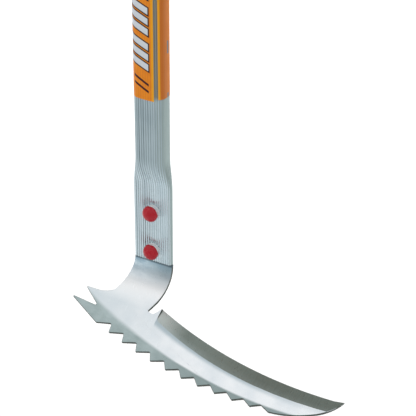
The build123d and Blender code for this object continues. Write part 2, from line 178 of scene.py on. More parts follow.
# Camera, floor, the lights' powers in watts, and the surround's brightness from the horizon up
CAMERA_AZIMUTH = 29.43
CAMERA_ELEVATION = 30.03
CAMERA_ROLL = 0.46
CAMERA_DISTANCE = 1050.0
CAMERA_AIM = (48.8, -1.1, 61.6)
CAMERA_LENS = 121.15
CAMERA_SENSOR = 36.0
FLOOR_DROP = 350.0
FLOOR_SIZE = 30.0
OVERHEAD_POWER = 2.4
GLOSS_POWER = 1.2
BEHIND_POWER = 26
SURROUND = {"From Min": 0.0, "From Max": 0.9, "To Min": 0.5, "To Max": 0.85}

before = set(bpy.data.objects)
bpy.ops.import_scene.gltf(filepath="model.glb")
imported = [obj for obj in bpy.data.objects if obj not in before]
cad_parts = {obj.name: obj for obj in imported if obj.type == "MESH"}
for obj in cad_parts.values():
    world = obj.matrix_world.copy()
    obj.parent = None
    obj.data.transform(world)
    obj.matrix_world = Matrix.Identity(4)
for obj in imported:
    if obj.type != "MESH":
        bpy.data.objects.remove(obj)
CAD_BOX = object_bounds()
TUBE_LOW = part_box("handle_tube")[0].z
TUBE_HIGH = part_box("handle_tube")[1].z
LABEL_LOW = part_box("label")[0].z


# ---------------------------------------------------------------- mesh helpers

def make_piece(name, vertices, faces, slot, replaced, smooth_angle=30):
    """A closed mesh piece that stands for a CAD node and moves with the one body."""
    mesh = bpy.data.meshes.new(name)
    mesh.from_pydata([tuple(v) for v in vertices], [], faces)
    mesh.validate()
    piece = bpy.data.objects.new(name, mesh)
    bpy.context.scene.collection.objects.link(piece)
    face_outwards(piece)
    smooth_by_angle(piece, smooth_angle)
    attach(piece, "root")
    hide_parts(replaced)
    return piece


def face_outwards(piece):
    working = bmesh.new()
    working.from_mesh(piece.data)
    bmesh.ops.recalc_face_normals(working, faces=working.faces)
    working.to_mesh(piece.data)
    working.free()


def smooth_by_angle(piece, angle):
    """Smooth shading, with every edge sharper than the angle in degrees kept sharp."""
    working = bmesh.new()
    working.from_mesh(piece.data)
    for face in working.faces:
        face.smooth = True
    for edge in working.edges:
        edge.smooth = len(edge.link_faces) == 2 and edge.calc_face_angle(0) < radians(angle)
    working.to_mesh(piece.data)
    working.free()


def join_rings(rings, wrap=False, ends=False):
    """Faces between rings of equal length, closed into a loop of rings or with a face on each end."""
    count = len(rings[0])
    vertices = [v for ring in rings for v in ring]
    faces = []
    for i in range(len(rings) if wrap else len(rings) - 1):
        low, high = i * count, (i + 1) % len(rings) * count
        for j in range(count):
            k = (j + 1) % count
            faces.append((low + j, low + k, high + k, high + j))
    if ends:
        faces.append(tuple(range(count)))
        faces.append(tuple(range(len(vertices) - count, len(vertices))))
    return vertices, faces


# ---------------------------------------------------------------- the handle's outline

def ease(share):
    return share * share * (3 - 2 * share)


def dense_outline(width, depth, corner, crown, corner_steps=24, side_steps=24):
    """Points and normals round a crowned, rounded rectangle, from the middle of its back face."""
    half_x, half_y = width / 2 - crown, depth / 2 - crown
    centre_x, centre_y = half_x - corner, half_y - corner
    outline = []

    def add(x, y, normal_x, normal_y):
        bulge_x = crown * (1 - min(1, (y / half_y) ** 2)) * normal_x
        bulge_y = crown * (1 - min(1, (x / half_x) ** 2)) * normal_y
        outline.append((x + bulge_x, y + bulge_y, normal_x, normal_y))

    quarter_turns = [(1, 1), (1, -1), (-1, -1), (-1, 1)]
    for turn, (side_x, side_y) in enumerate(quarter_turns):
        start = pi / 2 - turn * pi / 2
        for step in range(corner_steps):
            angle = start - step / corner_steps * pi / 2
            add(side_x * centre_x + corner * cos(angle), side_y * centre_y + corner * sin(angle),
                cos(angle), sin(angle))
        next_x, next_y = quarter_turns[(turn + 1) % 4]
        angle = start - pi / 2
        for step in range(side_steps):
            share = step / side_steps
            x = (side_x + share * (next_x - side_x)) * centre_x + corner * cos(angle)
            y = (side_y + share * (next_y - side_y)) * centre_y + corner * sin(angle)
            add(x, y, cos(angle), sin(angle))
    middle = len(outline) - side_steps // 2
    return outline[middle:] + outline[:middle]


def spaced_outline(count, *section):
    """The outline's points and normals, evenly spaced along its length."""
    dense = dense_outline(*section)
    lengths = [0.0]
    for i, (x, y, *_) in enumerate(dense):
        next_x, next_y, *_ = dense[(i + 1) % len(dense)]
        lengths.append(lengths[-1] + sqrt((next_x - x) ** 2 + (next_y - y) ** 2))
    spaced, i = [], 0
    for j in range(count):
        target = lengths[-1] * j / count
        while lengths[i + 1] <= target:
            i += 1
        share = (target - lengths[i]) / (lengths[i + 1] - lengths[i])
        start, end = dense[i], dense[(i + 1) % len(dense)]
        spaced.append(tuple(a + share * (b - a) for a, b in zip(start, end)))
    return spaced


def section_at(height):
    """Width, depth, corner radius and crown of the handle at a height above its lower end."""
    share = min(1, max(0, 1 - (height - FLAT_LENGTH) / PRESS_LENGTH))
    eased = ease(share)
    full = (TUBE_WIDTH, TUBE_DEPTH, TUBE_CORNER, TUBE_CROWN)
    flat = (FLAT_WIDTH, FLAT_DEPTH, FLAT_CORNER, 0.0)
    return [a + eased * (b - a) for a, b in zip(full, flat)]


def handle_ring(height, count, offset=0.0, fluted=False):
    """One ring round the handle, in metres, offset outwards and with its flutes if it has them."""
    ring = []
    for j, (x, y, normal_x, normal_y) in enumerate(spaced_outline(count, *section_at(height))):
        out = offset
        if fluted:
            across = j % FLUTE_SAMPLES / FLUTE_SAMPLES
            depth = FLUTE_DEPTH_SIDES + (FLUTE_DEPTH - FLUTE_DEPTH_SIDES) * normal_y**2
            out -= depth * (1 - sin(pi * across))
        z = TUBE_LOW + height * MM
        ring.append(Vector(((x + out * normal_x) * MM, (y + out * normal_y) * MM, z)))
    return ring


# ---------------------------------------------------------------- pieces

def build_handle_tube():
    """The fluted tube with its pressed end, its bore and both bolt holes."""
    count = FLUTES * FLUTE_SAMPLES
    length = (TUBE_HIGH - TUBE_LOW) / MM
    press = [FLAT_LENGTH + PRESS_LENGTH * i / PRESS_RINGS for i in range(PRESS_RINGS + 1)]
    heights = [RIM_ROUND, FLAT_LENGTH / 2, *press, length / 2, length - RIM_ROUND]
    outer = [handle_ring(h, count, 0.0, True) for h in heights]
    outer.insert(0, handle_ring(0, count, -RIM_ROUND, True))
    outer.append(handle_ring(length, count, -RIM_ROUND, True))
    inner_heights = [0, *press, length]
    inner = [handle_ring(h, count, -TUBE_WALL) for h in reversed(inner_heights)]
    shape = join_rings(outer + inner, wrap=True)
    tube = make_piece("fluted_tube", *shape, "handle_aluminium", "handle_tube")
    valley = tube.data.attributes.new("valley", "FLOAT", "POINT")
    flute = tube.data.attributes.new("flute", "FLOAT", "POINT")
    for i in range(count * len(outer)):
        valley.data[i].value = 1 - sin(pi * (i % FLUTE_SAMPLES) / FLUTE_SAMPLES)
        flute.data[i].value = i % count / FLUTE_SAMPLES
    for level in ("lower", "upper"):
        cut_bolt_hole(tube, level)
    return tube


def cut_bolt_hole(piece, level):
    """A round hole through the tube where the bolt goes."""
    low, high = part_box(f"{level}_nut")
    centre = ((low.x + high.x) / 2, 0, (low.z + high.z) / 2)
    working = bmesh.new()
    bmesh.ops.create_cone(
        working, cap_ends=True, segments=48,
        radius1=HOLE_RADIUS * MM, radius2=HOLE_RADIUS * MM, depth=TUBE_DEPTH * MM,
        matrix=Matrix.Translation(centre) @ Matrix.Rotation(pi / 2, 4, "X"),
    )
    mesh = bpy.data.meshes.new("hole_cutter")
    working.to_mesh(mesh)
    working.free()
    cutter = bpy.data.objects.new("hole_cutter", mesh)
    bpy.context.scene.collection.objects.link(cutter)
    cut = piece.modifiers.new("bolt_hole", "BOOLEAN")
    cut.operation, cut.object, cut.solver = "DIFFERENCE", cutter, "EXACT"
    apply_modifiers(piece)
    bpy.data.objects.remove(cutter)


def apply_modifiers(piece):
    """Replaces the piece's mesh by what its modifiers make of it."""
    evaluated = piece.evaluated_get(bpy.context.evaluated_depsgraph_get())
    mesh = bpy.data.meshes.new_from_object(evaluated)
    piece.modifiers.clear()
    piece.data = mesh


def build_label():
    """The printed wrap, one end a little higher, with millimetres along and up the print in its UVs."""
    low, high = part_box("label")
    bottom, top = (low.z - TUBE_LOW) / MM, (high.z - TUBE_LOW) / MM
    outline = spaced_outline(LABEL_SAMPLES, TUBE_WIDTH, TUBE_DEPTH, TUBE_CORNER, TUBE_CROWN)
    in_gap = [y < 0 and LABEL_START_X < x < LABEL_START_X + LABEL_GAP for x, y, *_ in outline]
    first = next(i for i in range(LABEL_SAMPLES) if in_gap[i - 1] and not in_gap[i])
    around = [(first + i) % LABEL_SAMPLES for i in range(LABEL_SAMPLES - sum(in_gap))]
    lengths = [0.0]
    for i, j in zip(around, around[1:]):
        (x, y, *_), (next_x, next_y, *_) = outline[i], outline[j]
        lengths.append(lengths[-1] + sqrt((next_x - x) ** 2 + (next_y - y) ** 2))

    def skin(height, offset):
        ring = []
        for along, i in zip(lengths, around):
            x, y, normal_x, normal_y = outline[i]
            z = TUBE_LOW + (height + LABEL_SKEW * along / lengths[-1]) * MM
            ring.append(Vector(((x + offset * normal_x) * MM, (y + offset * normal_y) * MM, z)))
        return ring

    rings = [skin(height, LABEL_THICKNESS) + skin(height, 0.0)[::-1] for height in (bottom, top)]
    label = make_piece("printed_label", *join_rings(rings, ends=True), "printed_label", "label", 40)
    both_skins = lengths + lengths[::-1]
    prints = label.data.uv_layers.new(name="print")
    for corner in label.data.loops:
        height = (label.data.vertices[corner.vertex_index].co.z - TUBE_LOW) / MM - bottom
        prints.data[corner.index].uv = (both_skins[corner.vertex_index % len(both_skins)], height)
    return label


def rounded_hexagon(flats, corner, roundness, count):
    """Points round a hexagon with rounded corners, turned into a circle by the roundness."""
    radius = flats / 2
    corner_centre = (radius - corner) / cos(pi / 6)
    points = []
    for i in range(count):
        angle = 2 * pi * i / count
        from_side = abs(angle % (pi / 3) - pi / 6)
        from_corner = pi / 6 - from_side
        reach = radius / cos(from_side)
        if radius * tan(from_side) > (radius - corner) * tan(pi / 6):
            beside = corner_centre * sin(from_corner)
            reach = corner_centre * cos(from_corner) + sqrt(corner**2 - beside**2)
        reach += roundness * (radius - reach)
        points.append((reach * cos(angle), reach * sin(angle)))
    return points


def build_nut_cap(level):
    """A moulded cap on the nut: hexagonal skirt, spherical end, and the rooms for nut and bolt."""
    low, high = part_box(f"{level}_nut_cap")
    centre_x, centre_z = (low.x + high.x) / 2, (low.z + high.z) / 2
    seat, height = high.y, (high.y - low.y) / MM

    def ring(points, rise, share=1.0):
        scale = share * MM
        return [Vector((centre_x + x * scale, seat - rise * MM, centre_z + z * scale)) for x, z in points]

    nut_room = rounded_hexagon(CAP_NUT_FLATS, CAP_ROOM_CORNER, 0, CAP_SAMPLES)
    bolt_room = rounded_hexagon(2 * CAP_BOLT_RADIUS, CAP_BOLT_RADIUS / 2, 1, CAP_SAMPLES)
    rings = [ring(bolt_room, CAP_BOLT_DEPTH), ring(bolt_room, CAP_NUT_DEPTH)]
    rings.append(ring(nut_room, CAP_NUT_DEPTH, CAP_ROOM_END))
    rings.append(ring(nut_room, CAP_NUT_DEPTH - CAP_ROOM_TAPER))
    rings.append(ring(nut_room, 0))
    skirt = rounded_hexagon(CAP_FLATS, CAP_CORNER, 0, CAP_SAMPLES)
    rings.append(ring(skirt, 0, 1 - CAP_EDGE_ROUND / CAP_FLATS * 2))
    for step in range(CAP_RINGS + 1):
        rise = CAP_EDGE_ROUND + (height - CAP_EDGE_ROUND) * sin(step / CAP_RINGS * pi / 2)
        dome = sqrt(max(0.0, CAP_DOME_RADIUS**2 - (rise - height + CAP_DOME_RADIUS) ** 2))
        points = []
        for x, z in skirt:
            reach = sqrt(x * x + z * z)
            limit = blended_minimum(reach, max(dome, CAP_TIP_RADIUS), CAP_BLEND)
            points.append((x * limit / reach, z * limit / reach))
        rings.append(ring(points, rise))
    shape = join_rings(rings, ends=True)
    return make_piece(f"{level}_red_cap", *shape, "red_plastic", f"{level}_nut_cap", 50)


def blended_minimum(a, b, width):
    """The smaller of two lengths, with a smooth change from one to the other over the width."""
    overlap = max(0.0, 1 - abs(a - b) / width)
    return max(0.05, min(a, b) - overlap * overlap * width / 4)


def build_grip_sleeve():
    """The rubber sleeve, with rounded grooves and a rolled edge at its lower end."""
    low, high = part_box("grip_sleeve")
    bottom, top = (low.z - TUBE_LOW) / MM, (high.z - TUBE_LOW) / MM
    length = top - bottom
    profile = []
    for step in range(GROOVE_RINGS + 1):
        turn = step / GROOVE_RINGS * pi / 2
        profile.append((GRIP_END_ROUND * (1 - cos(turn)), GRIP_WALL - GRIP_END_ROUND * (1 - sin(turn))))
    first = (length - (GROOVE_COUNT - 1) * GROOVE_PITCH) / 2
    for groove in range(GROOVE_COUNT):
        for step in range(GROOVE_RINGS + 1):
            across = step / GROOVE_RINGS
            dip = GROOVE_DEPTH * sin(pi * across) ** 2
            height = first + groove * GROOVE_PITCH + (across - 0.5) * GROOVE_WIDTH
            profile.append((height, GRIP_WALL - dip))
    profile.append((length, GRIP_WALL))
    rings = [handle_ring(bottom + height, GRIP_SAMPLES, out) for height, out in profile]
    rings += [handle_ring(top, GRIP_SAMPLES, 0.0), handle_ring(bottom, GRIP_SAMPLES, 0.0)]
    return make_piece("rubber_grip", *join_rings(rings, wrap=True), "black_rubber", "grip_sleeve", 50)


def from_cutting_edge(point):
    """How far inside the cutting edge a point of the blade lies, in millimetres along the sheet."""
    slope = radians(BEND_ANGLE)
    bend_y = -SHEET / 2 - BEND_RADIUS * (1 - cos(slope))
    bend_z = TUBE_LOW / MM - NECK_STRAIGHT - BEND_RADIUS * sin(slope)
    past_bend = (bend_y - point.y / MM) * sin(slope) + (bend_z - point.z / MM) * cos(slope)
    depth = NECK_STRAIGHT + BEND_RADIUS * slope + past_bend
    across = point.x / MM - EDGE_CROWN_X
    return sqrt(across**2 + (depth - EDGE_CROWN_DEPTH + EDGE_RADIUS) ** 2) - EDGE_RADIUS


def faces_front(face):
    """True for a face on the front of the sheet, and false for its rims and its back."""
    return face.normal.y < 0 and face.normal.z > -0.1 and abs(face.normal.x) < 0.3


def build_blade():
    """The blade's own surfaces, with the sharp edges of its front eased a little, as stamping does.

    The plunge line, where the ground bevel starts, stays crisp. The keen cutting edge is eased least.
    """
    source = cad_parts["blade"]
    blade = bpy.data.objects.new("steel_blade", source.data.copy())
    blade.data.materials.clear()
    bpy.context.scene.collection.objects.link(blade)
    working = bmesh.new()
    working.from_mesh(blade.data)
    bmesh.ops.remove_doubles(working, verts=working.verts, dist=0.001 * MM)
    bmesh.ops.dissolve_limit(
        working, angle_limit=radians(0.3), verts=working.verts, edges=working.edges, delimit=set()
    )
    weights = working.edges.layers.float.new("bevel_weight_edge")
    for edge in working.edges:
        sharp = edge.calc_face_angle(0) > radians(BLADE_EASED_ANGLE)
        if sharp and any(faces_front(face) for face in edge.link_faces):
            from_cut = min(from_cutting_edge(vertex.co) for vertex in edge.verts)
            beside_bevel = BLADE_KEEN_WIDTH < from_cut < 1.2 * BEVEL_WIDTH
            if from_cut < BLADE_KEEN_WIDTH:
                edge[weights] = BLADE_KEEN_SHARE
            elif beside_bevel and edge.verts[0].co.x < PLUNGE_END_X * MM:
                edge[weights] = 0.0
            else:
                edge[weights] = 1.0
    working.to_mesh(blade.data)
    working.free()
    ease_edges = blade.modifiers.new("eased_edges", "BEVEL")
    ease_edges.limit_method = "WEIGHT"
    ease_edges.width, ease_edges.segments = BLADE_EDGE_ROUND * MM, 2
    ease_edges.use_clamp_overlap = False
    apply_modifiers(blade)
    smooth_by_angle(blade, BLADE_SHARP_ANGLE)
    even_normals = blade.modifiers.new("even_normals", "WEIGHTED_NORMAL")
    even_normals.keep_sharp = True
    apply_modifiers(blade)
    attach(blade, "root")
    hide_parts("blade")
    return blade


# ---------------------------------------------------------------- materials

class Nodes:
    """A material's node tree, with short calls for the nodes that the materials share."""

    def __init__(self, name):
        self.material = bpy.data.materials.new(name)
        self.material.use_nodes = True
        self.tree = self.material.node_tree
        self.shader = self.tree.nodes["Principled BSDF"]

    def add(self, kind, **settings):
        node = self.tree.nodes.new(kind)
        for key, value in settings.items():
            setattr(node, key, value)
        return node

    def feed(self, socket, value):
        if isinstance(value, bpy.types.NodeSocket):
            self.tree.links.new(value, socket)
        else:
            socket.default_value = value

    def fix(self, **values):
        """Constant values set on the shader's own sockets, by their names with _ for spaces."""
        for name, value in values.items():
            self.shader.inputs[name.replace("_", " ")].default_value = value

    def place(self):
        return self.add("ShaderNodeTexCoord").outputs["Object"]

    def scaled(self, vector, scale):
        node = self.add("ShaderNodeVectorMath", operation="MULTIPLY")
        self.feed(node.inputs[0], vector)
        self.feed(node.inputs[1], scale)
        return node.outputs[0]

    def dot(self, vector, direction):
        node = self.add("ShaderNodeVectorMath", operation="DOT_PRODUCT")
        self.feed(node.inputs[0], vector)
        self.feed(node.inputs[1], direction)
        return node.outputs["Value"]

    def noise(self, vector, scale, detail=3.0, roughness=0.5):
        node = self.add("ShaderNodeTexNoise")
        self.feed(node.inputs["Vector"], vector)
        node.inputs["Scale"].default_value = scale
        node.inputs["Detail"].default_value = detail
        node.inputs["Roughness"].default_value = roughness
        return node.outputs["Fac"]

    def math(self, operation, a, b=0.0, c=0.0):
        node = self.add("ShaderNodeMath", operation=operation)
        for socket, value in zip(node.inputs, (a, b, c)):
            self.feed(socket, value)
        return node.outputs[0]

    def times(self, a, b):
        return self.math("MULTIPLY", a, b)

    def hypotenuse(self, a, b):
        return self.math("SQRT", self.math("ADD", self.times(a, a), self.times(b, b)))

    def between(self, value, low, high, out_low=0.0, out_high=1.0, smooth=False):
        """The value's range from low to high, mapped to another range and held at its ends."""
        node = self.add("ShaderNodeMapRange", clamp=True)
        node.interpolation_type = "SMOOTHSTEP" if smooth else "LINEAR"
        for socket, number in zip(node.inputs[:5], (value, low, high, out_low, out_high)):
            self.feed(socket, number)
        return node.outputs["Result"]

    def over(self, place, stretch, out_low=0.0, out_high=1.0, smooth=False):
        """A place in metres, mapped over a stretch in millimetres."""
        return self.between(place, stretch[0] * MM, stretch[1] * MM, out_low, out_high, smooth)

    def mix(self, share, a, b):
        node = self.add("ShaderNodeMix", data_type="RGBA")
        self.feed(node.inputs["Factor"], share)
        self.feed(node.inputs[6], a)
        self.feed(node.inputs[7], b)
        return node.outputs[2]

    def split(self, vector):
        node = self.add("ShaderNodeSeparateXYZ")
        self.feed(node.inputs[0], vector)
        return node.outputs

    def bump(self, height, strength, distance):
        node = self.add("ShaderNodeBump")
        node.inputs["Strength"].default_value = strength
        node.inputs["Distance"].default_value = distance
        self.feed(node.inputs["Height"], height)
        self.feed(self.shader.inputs["Normal"], node.outputs[0])


def srgb(red, green, neck_reflection):
    """A shader colour from display values of 0 to 255."""
    def linear(value):
        value /= 255
        return value / 12.92 if value <= 0.04045 else ((value + 0.055) / 1.055) ** 2.4
    return linear(red), linear(green), linear(neck_reflection), 1.0


def aluminium():
    """Satin extruded aluminium: die lines, painted shade in the flutes and on the sides, a burnished
    pressed end with a painted sheen, and painted shade along the cut lower rim.
    """
    m = Nodes("fluted_aluminium")
    place = m.place()
    x, y, height = m.split(place)
    streaks = m.noise(m.scaled(place, (1.0, 0.3, 0.015)), 900.0, 4.0)
    patches = m.noise(place, 60.0)
    valley = m.add("ShaderNodeAttribute", attribute_name="valley").outputs["Fac"]
    flute = m.add("ShaderNodeCombineXYZ")
    m.feed(flute.inputs[0], m.add("ShaderNodeAttribute", attribute_name="flute").outputs["Fac"])
    m.feed(flute.inputs[1], m.times(height, 8.0))
    per_flute = m.noise(flute.outputs[0], 0.8, 2.0)
    facing = m.math("ABSOLUTE", m.split(m.add("ShaderNodeNewGeometry").outputs["Normal"])[1])
    front = m.between(facing, 0.45, 0.85)
    tone = m.math("ADD", m.times(streaks, 0.7), m.times(patches, 0.3))
    press_end = TUBE_LOW + (FLAT_LENGTH + PRESS_LENGTH) * MM
    pressed = m.between(height, TUBE_LOW + FLAT_LENGTH * MM, press_end, 1.0, 0.0, True)
    colour = m.mix(m.between(tone, 0.35, 0.65), srgb(168, 187, 194), srgb(196, 213, 219))
    # painted sheen: the pressed end takes a paler copy of the colour where its flattened faces catch the
    # light; its lower roughness is the real burnish
    bright = m.mix(m.between(tone, 0.35, 0.65), srgb(200, 218, 226), srgb(224, 240, 246))
    colour = m.mix(pressed, colour, bright)
    # painted shade: faces turned to the sides take a darker copy of the aluminium's colour
    colour = m.mix(front, m.mix(tone, srgb(148, 165, 165), srgb(168, 185, 184)), colour)
    # painted shade in the flute valleys, weaker on the sides, from flute to flute and towards the right
    shade = m.times(m.math("POWER", valley, 1.5), m.between(front, 0.0, 1.0, FLUTE_SHADE_SIDES, 1.0))
    shade = m.times(shade, m.between(per_flute, 0.35, 0.6, 0.4, 1.0))
    shade = m.times(shade, m.between(x, -1 * MM, 8 * MM, 1.0, FLUTE_SHADE_RIGHT))
    colour = m.mix(shade, colour, srgb(90, 108, 116))

    # from the label's lower end up, the front is darker and warmer, which shows between the label's ends
    from_label_up = m.between(height, LABEL_LOW, LABEL_LOW + 4 * MM)
    warm_front = m.times(from_label_up, m.math("LESS_THAN", y, 0.0))
    colour = m.mix(m.times(warm_front, 0.8), colour, srgb(132, 130, 122))
    # painted shade: a darker band just above the tube's cut lower end
    colour = m.mix(m.between(height, TUBE_LOW + 1.0 * MM, TUBE_LOW + 0.4 * MM), colour, srgb(96, 108, 113))
    m.feed(m.shader.inputs["Base Color"], colour)
    roughness = m.between(streaks, 0.3, 0.7, 0.28, 0.4)
    m.feed(m.shader.inputs["Roughness"], m.math("MULTIPLY_ADD", pressed, -0.1, roughness))
    m.fix(Metallic=0.9)
    m.bump(streaks, 0.15, 0.05 * MM)
    return m.material


def zinc(name, dull, bright, metallic):
    """Zinc plate between two tones, in small cloudy patches."""
    m = Nodes(name)
    place = m.place()
    patches = m.noise(place, 300.0, 4.0)
    m.feed(m.shader.inputs["Base Color"], m.mix(m.between(patches, 0.35, 0.65), dull, bright))
    m.feed(m.shader.inputs["Roughness"], m.between(patches, 0.3, 0.7, 0.3, 0.44))
    m.fix(Metallic=metallic)
    m.bump(m.noise(place, 1500.0), 0.15, 0.03 * MM)
    return m.material


def red_plastic():
    """Semi-gloss moulded plastic with a fine skin."""
    m = Nodes("red_moulded_plastic")
    place = m.place()
    clouds = m.noise(place, 220.0, 3.0)
    m.feed(m.shader.inputs["Base Color"], m.mix(clouds, srgb(174, 18, 36), srgb(196, 28, 46)))
    m.feed(m.shader.inputs["Roughness"], m.between(clouds, 0.3, 0.7, 0.22, 0.32))
    m.fix(Specular_IOR_Level=0.35)
    m.bump(m.noise(place, 2500.0), 0.2, 0.03 * MM)
    return m.material


def black_rubber():
    """Matt rubber with a pebbled skin, a little paler in broad patches."""
    m = Nodes("pebbled_rubber")
    place = m.place()
    pebbles = m.add("ShaderNodeTexVoronoi")
    m.feed(pebbles.inputs["Vector"], place)
    pebbles.inputs["Scale"].default_value = 1100.0
    dust = m.noise(place, 45.0, 4.0)
    m.feed(m.shader.inputs["Base Color"], m.mix(dust, (0.018, 0.018, 0.019, 1), (0.034, 0.034, 0.033, 1)))
    m.feed(m.shader.inputs["Roughness"], m.between(dust, 0.3, 0.7, 0.66, 0.84))
    m.fix(Specular_IOR_Level=0.35)
    m.bump(pebbles.outputs["Distance"], 0.5, 0.15 * MM)
    return m.material


def black_plastic():
    """Moulded plastic with a fine spark-eroded grain."""
    m = Nodes("grained_plastic")
    place = m.place()
    grain = m.noise(place, 1800.0, 4.0, 0.6)
    clouds = m.noise(place, 80.0)
    m.feed(m.shader.inputs["Base Color"], m.mix(clouds, (0.022, 0.022, 0.024, 1), (0.036, 0.036, 0.038, 1)))
    m.feed(m.shader.inputs["Roughness"], m.between(grain, 0.3, 0.7, 0.42, 0.6))
    m.bump(grain, 0.35, 0.06 * MM)
    return m.material


def printed_film(wrap):
    """Orange film with a yellower border and a plain motif of slanted bars and dashes, no lettering."""
    m = Nodes("printed_film")
    along, up, _ = m.split(m.add("ShaderNodeUVMap", uv_map="print").outputs[0])

    def inside(value, low, high):
        rise = m.between(value, low - PRINT_SOFTNESS, low + PRINT_SOFTNESS)
        fall = m.between(value, high - PRINT_SOFTNESS, high + PRINT_SOFTNESS, 1.0, 0.0)
        return m.times(rise, fall)

    def above(low):
        return m.between(up, low - PRINT_SOFTNESS, low + PRINT_SOFTNESS)

    def bars(grown):
        slanted = m.math("MULTIPLY_ADD", along, -BAR_SLANT, up)
        above_start = m.math("SUBTRACT", slanted, BARS_FROM)
        in_group = m.math("WRAP", above_start, BAR_GROUP_PITCH - BAR_GROUP_LEAD, -BAR_GROUP_LEAD)
        covered = 0.0
        for low, high in BARS:
            covered = m.math("MAXIMUM", covered, inside(in_group, low - grown, high + grown))
        length = inside(along, BARS_ALONG[0] - grown, BARS_ALONG[1] + grown)
        started = m.math("GREATER_THAN", slanted, BARS_FROM - BAR_OUTLINE - 0.5)
        return m.times(m.times(covered, length), started)

    def dashes():
        slanted = m.math("MULTIPLY_ADD", along, -DASH_SLANT, up)
        half = DASH_WIDTH / 2
        both = [inside(slanted, height - half, height + half) for height in DASH_HEIGHTS]
        return m.times(m.math("MAXIMUM", *both), inside(along, *DASHES_ALONG))

    wear = m.noise(m.place(), 130.0, 4.0)
    colour = m.mix(m.between(wear, 0.35, 0.65), srgb(250, 150, 22), srgb(240, 138, 24))
    # painted shade: the wrap is darker from 56 mm along to its end, over its right side
    colour = m.mix(m.between(along, 56.0, 68.0), colour, srgb(206, 116, 36))
    # painted shade: darker stripes at the flutes' pitch stand for the flutes pressing through the smooth
    # film
    painted_rib_shade = m.math("SINE", m.times(along, 2 * pi / RIB_PITCH))
    colour = m.mix(m.between(painted_rib_shade, 0.2, 1.0, 0.0, 0.22), colour, srgb(176, 84, 30))
    inner = inside(along, BORDER_WIDTH, wrap - BORDER_WIDTH)
    colour = m.mix(inner, srgb(250, 172, 24), colour)
    colour = m.mix(dashes(), colour, srgb(58, 16, 22))
    panel = m.times(inside(along, *PANEL_ALONG), above(PANEL_FROM))
    colour = m.mix(panel, colour, srgb(214, 227, 234))
    rules = m.times(panel, inside(m.math("PINGPONG", up, PANEL_RULE_PITCH / 2), 0.0, 0.3))
    rules = m.times(rules, inside(along, PANEL_ALONG[0] + 4, PANEL_ALONG[1] - 3))
    colour = m.mix(rules, colour, srgb(110, 120, 128))
    colour = m.mix(bars(BAR_OUTLINE), colour, srgb(44, 22, 24))
    colour = m.mix(bars(0.0), colour, srgb(222, 229, 236))
    tick_place = m.math("PINGPONG", up, TICK_PITCH / 2)
    ticks = m.times(inside(along, *TICKS_ALONG), inside(tick_place, 0.0, TICK_LENGTH / 2))
    colour = m.mix(ticks, colour, srgb(120, 132, 136))
    m.feed(m.shader.inputs["Base Color"], colour)
    m.feed(m.shader.inputs["Roughness"], m.between(wear, 0.3, 0.7, 0.36, 0.46))
    m.fix(Specular_IOR_Level=0.25)
    m.bump(m.noise(m.place(), 90.0), 0.1, 0.1 * MM)
    return m.material


